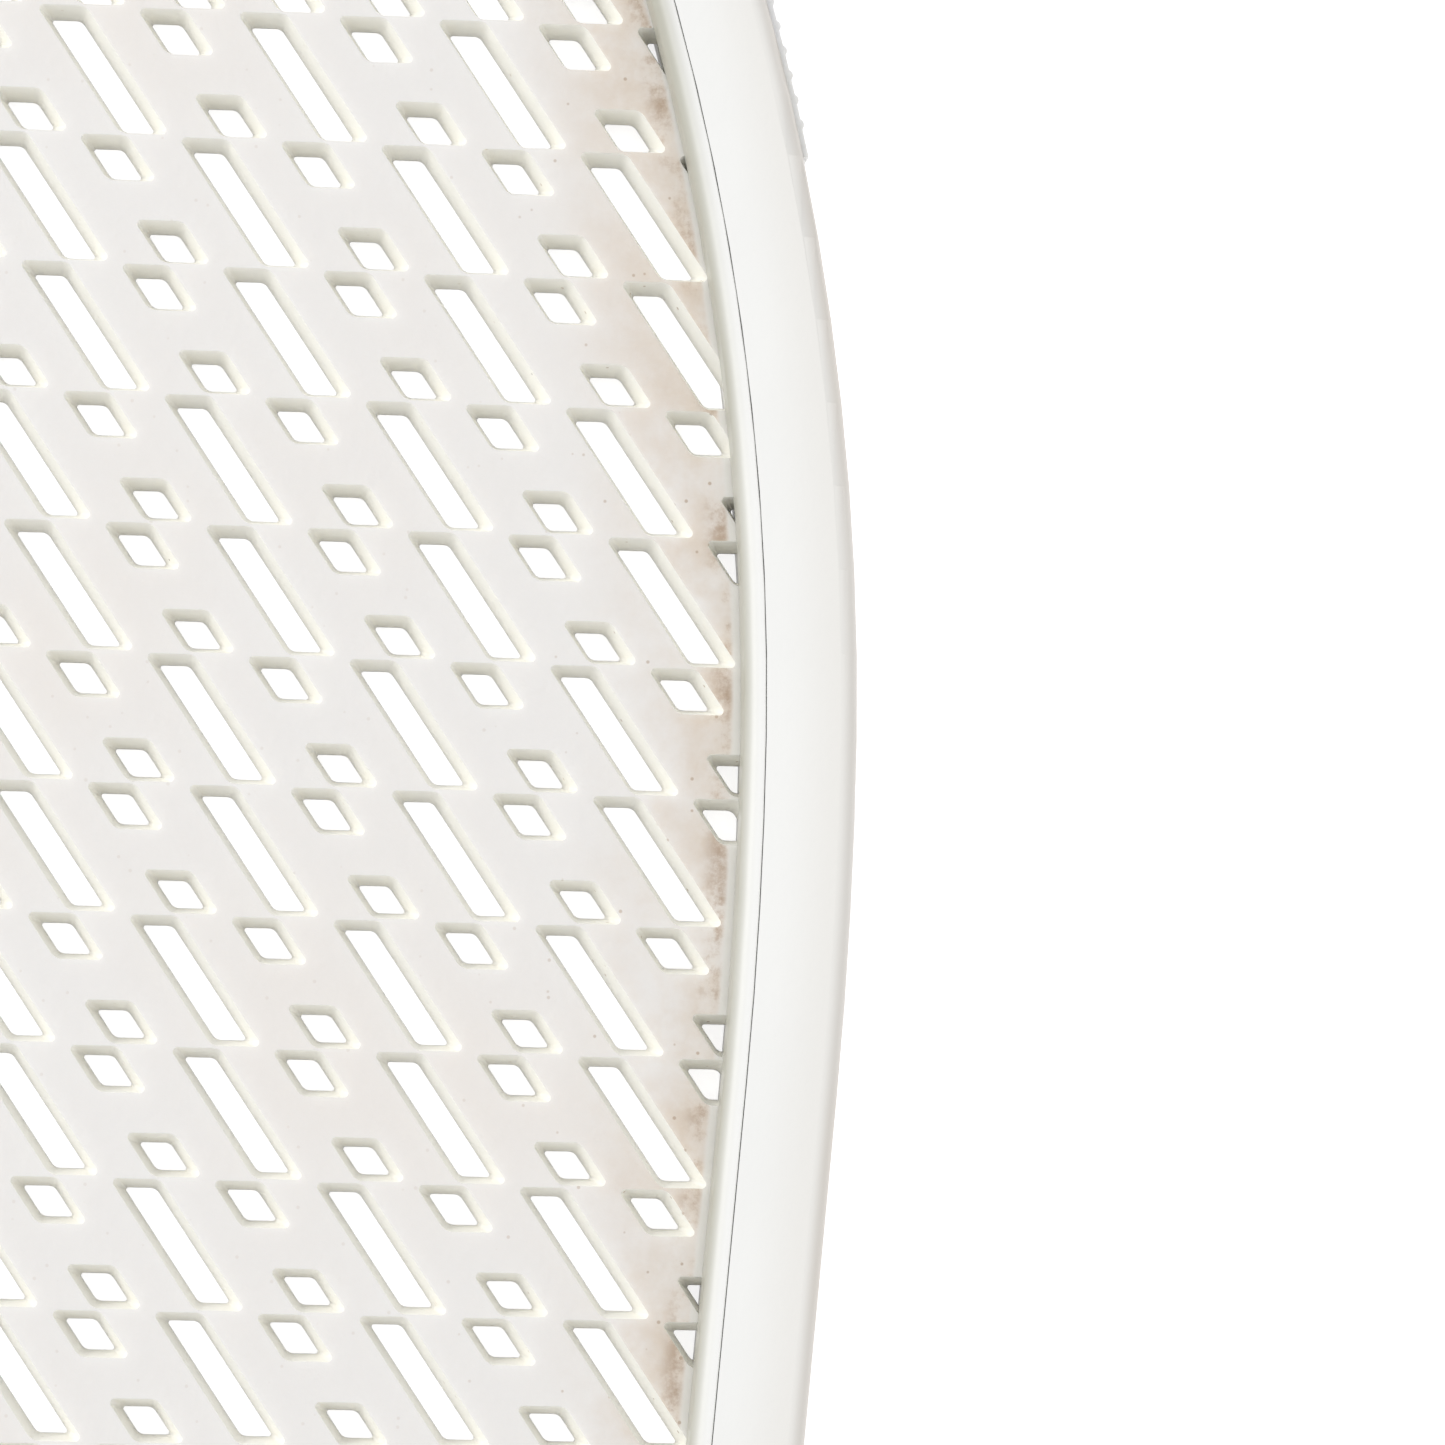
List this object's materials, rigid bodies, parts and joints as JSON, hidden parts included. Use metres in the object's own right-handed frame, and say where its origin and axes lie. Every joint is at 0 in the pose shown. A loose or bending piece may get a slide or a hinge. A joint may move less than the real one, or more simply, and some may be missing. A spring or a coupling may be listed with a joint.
{
  "type": "fly swatter",
  "caption": "Manual fly swatter: slotted plastic plate clamped in a rounded frame with a rubber tip bumper, on a telescopic metal shaft with an oval grip and hanging hole.",
  "frame": {"origin": "centre of the object's box at its base, with the shaft fully drawn out", "axes": "+Y from the grip to the tip of the head, +Z out of the front face of the head, +X to the right"},
  "size_m": [0.12, 0.6116, 0.016],
  "materials": {
    "head_plastic": "satin moulded white plastic",
    "panel_plastic": "fine matt moulded white plastic, stained near the rim",
    "ring_plastic": "satin moulded white plastic",
    "bumper_rubber": "milky soft rubber, slightly yellowed",
    "ferrule_metal": "brushed",
    "rivet_metal": "turned",
    "tube_steel": "drawn stainless steel",
    "bush_plastic": "natural low-friction plastic",
    "grip_plastic": "satin moulded white plastic",
    "sleeve_rubber": "soft matt grey rubber",
    "screw_steel": "plated"
  },
  "bodies": {
    "grip": {"outer_tube": "tube_steel", "nose_collar": "grip_plastic", "grip_front": "grip_plastic", "grip_back": "grip_plastic", "grip_sleeve": "sleeve_rubber", "grip_screws": "screw_steel", "end_cap": "grip_plastic"},
    "middle": {"middle_tube": "tube_steel", "middle_bush": "bush_plastic"},
    "head": {"head_frame": "head_plastic", "swat_panel": "panel_plastic", "retainer_ring": "ring_plastic", "tip_bumper": "bumper_rubber", "neck_ferrule": "ferrule_metal", "neck_rivet": "rivet_metal", "inner_tube": "tube_steel", "inner_bush": "bush_plastic"}
  },
  "joints": [
    {"name": "middle_slide", "type": "slide", "parent": "grip", "child": "middle", "axis": [0, -1, 0], "range_m": [0, 0.12]},
    {"name": "inner_slide", "type": "slide", "parent": "middle", "child": "head", "axis": [0, -1, 0], "range_m": [0, 0.1]}
  ]
}
